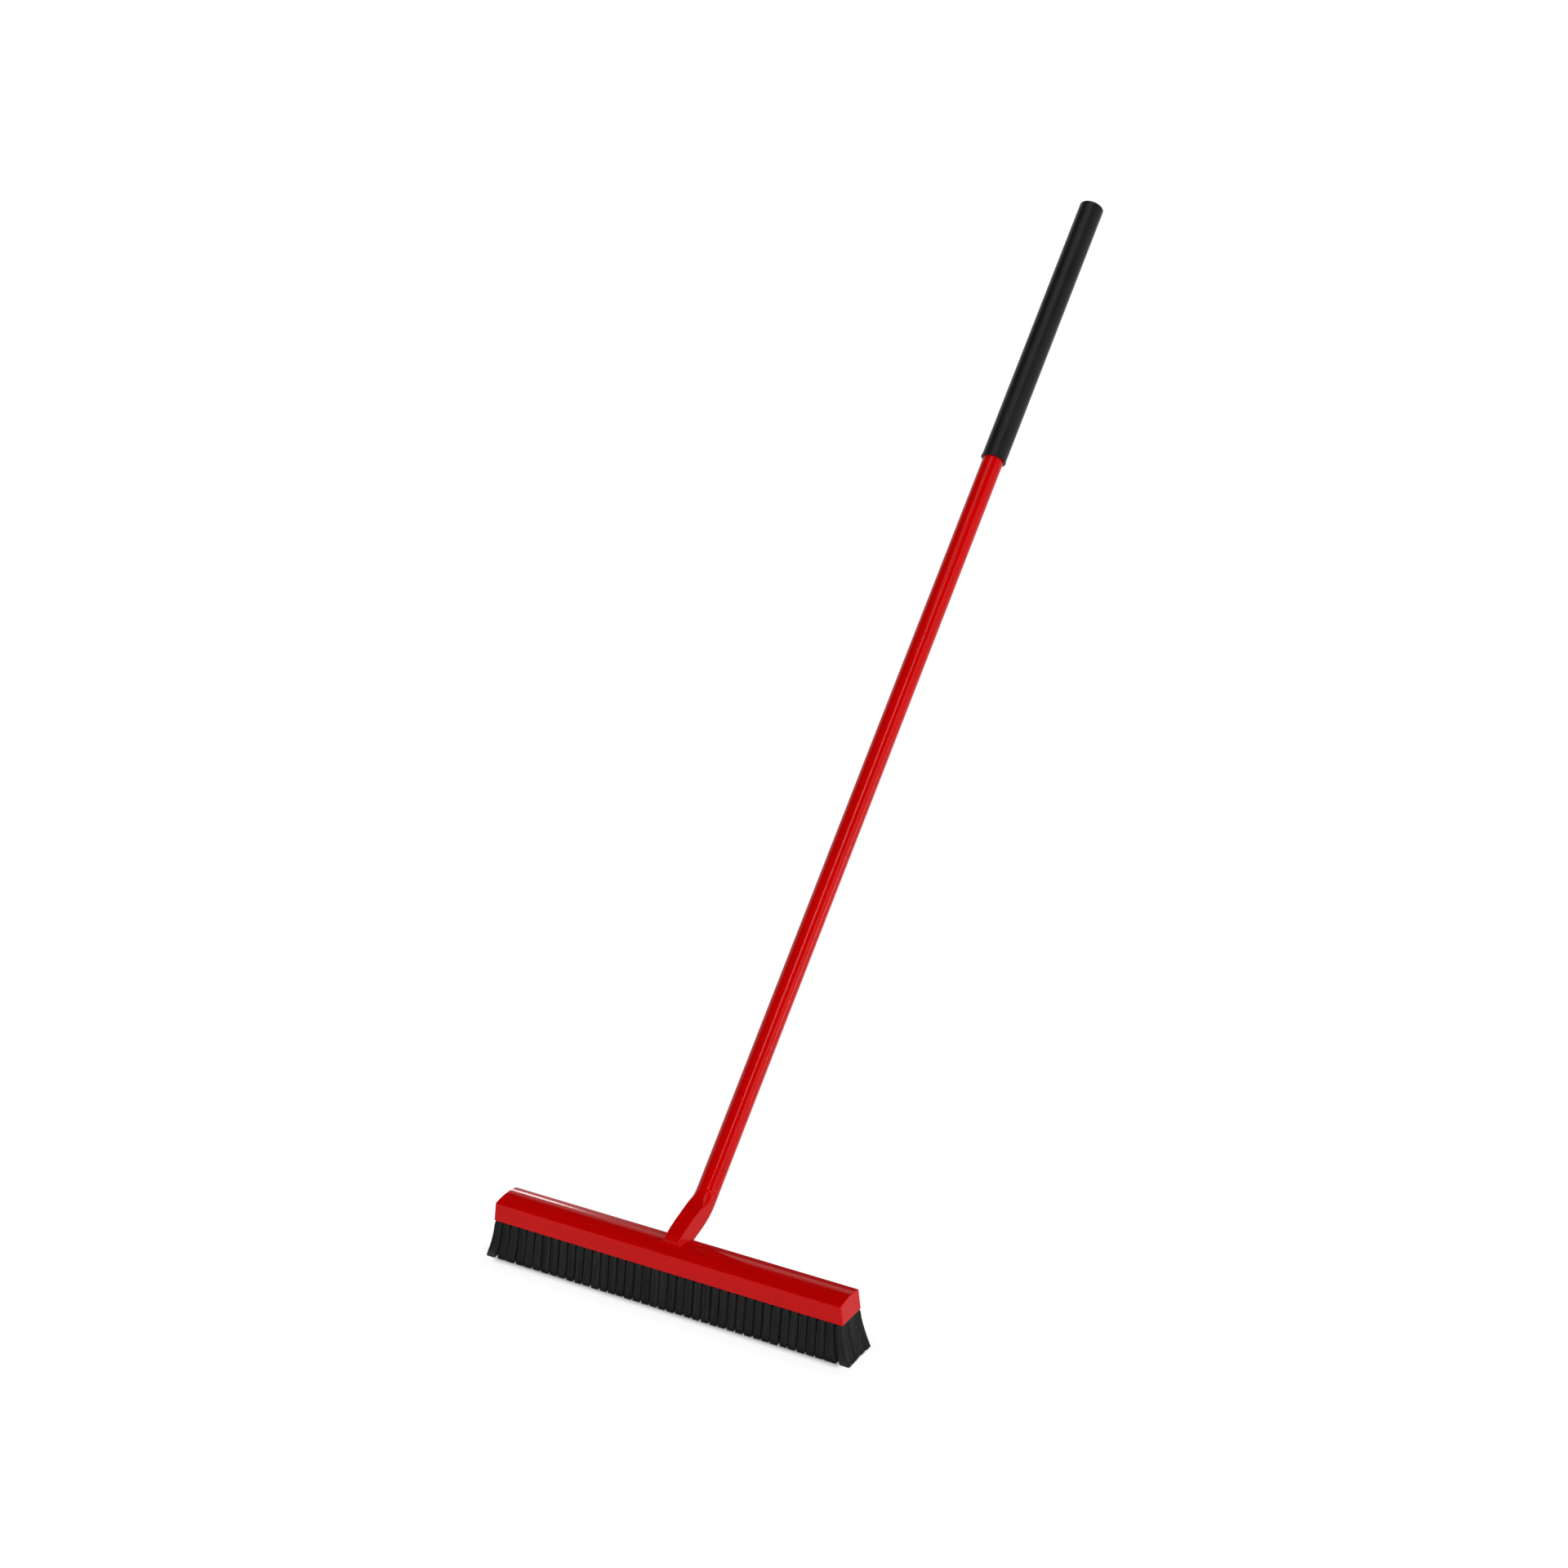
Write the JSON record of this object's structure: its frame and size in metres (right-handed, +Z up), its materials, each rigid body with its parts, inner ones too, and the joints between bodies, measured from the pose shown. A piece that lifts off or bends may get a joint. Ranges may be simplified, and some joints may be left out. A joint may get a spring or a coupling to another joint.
{
  "type": "push broom",
  "caption": "Push broom: long red head block with black bristles, gooseneck bracket, and a tilted screw-in red tube handle with a black grip.",
  "frame": {"origin": "centre of the sweeping face, where the bristle tips meet the floor", "axes": "+X along the head, -Y to the front (the way it is pushed), +Z up; the handle leans back over +Y"},
  "size_m": [0.461, 1.0496, 1.0197],
  "materials": {
    "block_plastic": "gloss moulded plastic",
    "bristle": "black synthetic bristle, packed fibres",
    "tube_paint": "gloss red coating on steel tube",
    "grip_rubber": "satin black soft grip",
    "black_plastic": "black moulded plastic",
    "nylon": "red nylon",
    "steel": "zinc-plated steel",
    "brass": "machined brass"
  },
  "bodies": {
    "head": {"head_block": "block_plastic", "neck": "block_plastic", "bristle_row_1": "bristle", "bristle_row_2": "bristle", "bristle_row_3": "bristle", "bristle_row_4": "bristle", "bristle_row_5": "bristle", "tuft_anchors_1": "steel", "tuft_anchors_2": "steel", "tuft_anchors_3": "steel", "tuft_anchors_4": "steel", "tuft_anchors_5": "steel", "head_screws": "steel", "head_washers": "steel", "threaded_inserts": "brass"},
    "ring": {"thrust_ring": "nylon"},
    "handle": {"handle_tube": "tube_paint", "threaded_ferrule": "black_plastic", "tube_top_plug": "black_plastic", "grip_sleeve": "grip_rubber"}
  },
  "joints": [
    {"name": "ring_travel", "type": "slide", "parent": "head", "child": "ring", "axis": [0, 0.7181, 0.6959], "range_m": [0, 0.03048]},
    {"name": "handle_turn", "type": "hinge", "parent": "ring", "child": "handle", "pos_m": [0, 0.09276, 0.11508], "axis": [0, 0.7181, 0.6959], "range_deg": [0, 2160]}
  ],
  "couplings": [
    {"joint": "handle_turn", "follows": "ring_travel", "rad_per_m": 1236.8}
  ]
}
